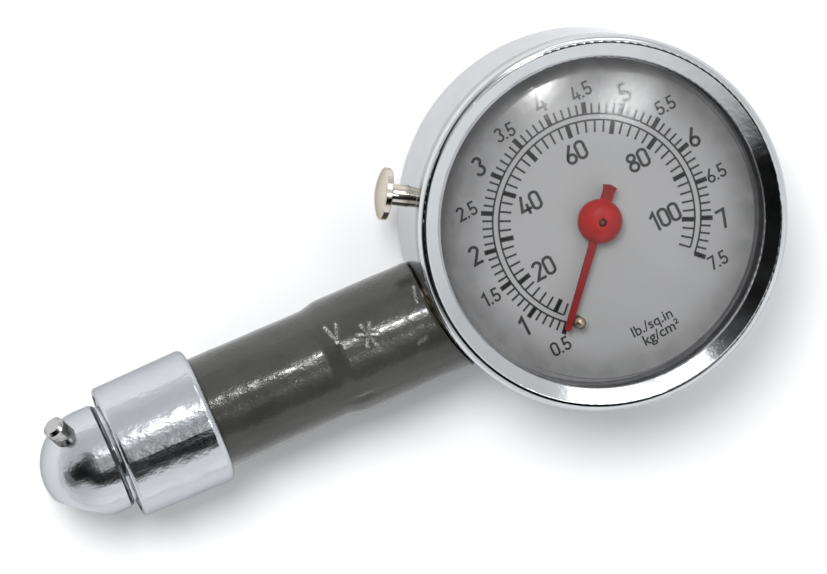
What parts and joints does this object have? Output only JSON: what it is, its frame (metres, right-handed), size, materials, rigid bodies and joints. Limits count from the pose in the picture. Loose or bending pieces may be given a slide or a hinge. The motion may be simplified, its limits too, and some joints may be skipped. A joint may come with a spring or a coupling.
{
  "type": "tyre pressure gauge",
  "caption": "Dial tyre pressure gauge with a chromed round case, domed lens, red pointer, side release button, grey sleeved stem and ball chuck.",
  "frame": {"origin": "centre of the flat case back, on the dial's axis", "axes": "+Z out through the dial, -X along the stem towards the chuck"},
  "size_m": [0.1138, 0.0538, 0.0244],
  "materials": {
    "chrome_plate": "bright chromium plate",
    "clear_lens": "clear moulded crystal",
    "black_rubber": "moulded",
    "spacer_metal": "satin",
    "dial_silver": "silver grey lacquer, black print",
    "brass": "machined",
    "red_paint": "gloss red",
    "movement_steel": "turned",
    "spring_bronze": "drawn",
    "spring_steel": "drawn wire",
    "nickel_plate": "bright nickel plate",
    "stem_steel": "drawn tube",
    "grey_sleeve": "dip-moulded warm grey vinyl, glossy"
  },
  "bodies": {
    "gauge_body": {"case_can": "chrome_plate", "bezel_ring": "chrome_plate", "lens": "clear_lens", "lens_gasket": "black_rubber", "dial_spacer_ring": "spacer_metal", "dial_plate": "dial_silver", "stop_pin": "brass", "hairspring": "spring_bronze", "hairspring_stud": "brass", "movement_lower_plate": "brass", "movement_upper_plate": "brass", "movement_pillars": "brass", "movement_screws": "movement_steel", "movement_frame_screws": "movement_steel", "bourdon_tube": "spring_bronze", "socket_block": "brass", "release_bushing": "brass", "release_spring": "spring_steel", "stem_neck": "brass", "stem_tube": "stem_steel", "grip_sleeve": "grey_sleeve", "chuck_collar": "chrome_plate", "chuck_ball": "chrome_plate", "chuck_seal": "black_rubber", "depressor_pin": "brass", "deflator_nib": "chrome_plate", "check_valve_spring": "spring_steel", "check_valve_cage": "brass"},
    "pointer_shaft": {"pointer": "red_paint", "pinion_arbor": "movement_steel", "hairspring_collet": "brass"},
    "sector": {"sector_gear": "brass", "sector_arbor": "movement_steel"},
    "link": {"tube_link": "brass"},
    "tube_tip": {"bourdon_tip": "brass"},
    "release_valve": {"release_button": "nickel_plate", "release_plunger": "brass", "release_seal": "black_rubber"},
    "check_valve": {"check_valve_poppet": "black_rubber"}
  },
  "joints": [
    {"name": "sector_turn", "type": "hinge", "parent": "gauge_body", "child": "sector", "pos_m": [0, -0.01125, 0.0143], "axis": [0, 0, 1], "range_deg": [0, 34.15]},
    {"name": "pointer_turn", "type": "hinge", "parent": "gauge_body", "child": "pointer_shaft", "pos_m": [0, 0, 0.0143], "axis": [0, 0, -1], "range_deg": [0, 273.2], "deforming": ["hairspring"]},
    {"name": "link_swing", "type": "hinge", "parent": "sector", "child": "link", "pos_m": [0, -0.01485, 0.0132], "axis": [0, 0, 1], "range_deg": [-22.5, 0]},
    {"name": "tube_tip_travel", "type": "slide", "parent": "gauge_body", "child": "tube_tip", "axis": [0.5549, -0.8319, 0], "range_m": [0, 0.0028], "deforming": ["bourdon_tube"]},
    {"name": "release_press", "type": "slide", "parent": "gauge_body", "child": "release_valve", "axis": [0.8729, -0.4879, 0], "range_m": [0, 0.0015], "stiffness_N_per_m": 600, "springref_m": -0.0015, "deforming": ["release_spring"]},
    {"name": "check_valve_lift", "type": "slide", "parent": "gauge_body", "child": "check_valve", "axis": [1, 0, 0], "range_m": [0, 0.0012], "stiffness_N_per_m": 150, "springref_m": -0.001, "deforming": ["check_valve_spring"]}
  ],
  "couplings": [
    {"joint": "sector_turn", "follows": "tube_tip_travel", "rad_per_m": 212.6},
    {"joint": "pointer_turn", "follows": "tube_tip_travel", "rad_per_m": 1700.8},
    {"joint": "link_swing", "follows": "tube_tip_travel", "rad_per_m": -138.47}
  ]
}
